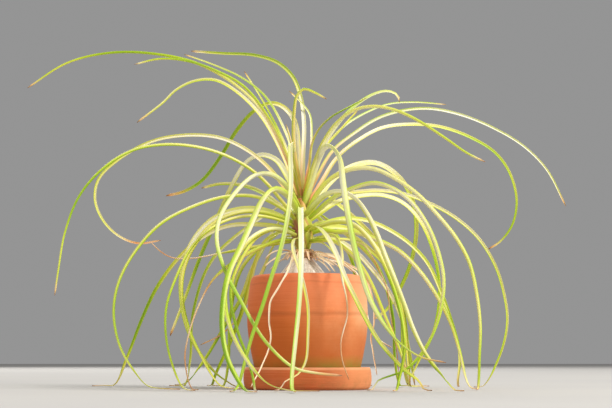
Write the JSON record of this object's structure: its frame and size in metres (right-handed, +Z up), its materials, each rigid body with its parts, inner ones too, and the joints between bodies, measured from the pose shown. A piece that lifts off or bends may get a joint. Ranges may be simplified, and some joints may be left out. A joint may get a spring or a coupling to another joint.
{
  "type": "potted ponytail palm",
  "caption": "Ponytail palm in a round-shouldered terracotta pot on its saucer: a swollen barky stem base under a fountain of long narrow arching leaves.",
  "frame": {"origin": "middle of the saucer's underside, on the surface that it stands on", "axes": "+Z up along the pot's axis; -Y towards the viewer of the picture; +X to that viewer's right"},
  "size_m": [0.4755, 0.3486, 0.3251],
  "materials": {
    "saucer_terracotta": "fired clay, matte",
    "pot_terracotta": "fired clay, smooth matte",
    "potting_mix": "loose and rough",
    "bark": "dry, wrinkled",
    "living_leaf": "smooth, slightly waxy",
    "dead_leaf": "dry, papery"
  },
  "bodies": {
    "root": {"saucer": "saucer_terracotta", "pot": "pot_terracotta", "soil": "potting_mix", "caudex": "bark", "leaf_crown": "living_leaf", "dry_leaves": "dead_leaf"}
  },
  "joints": []
}
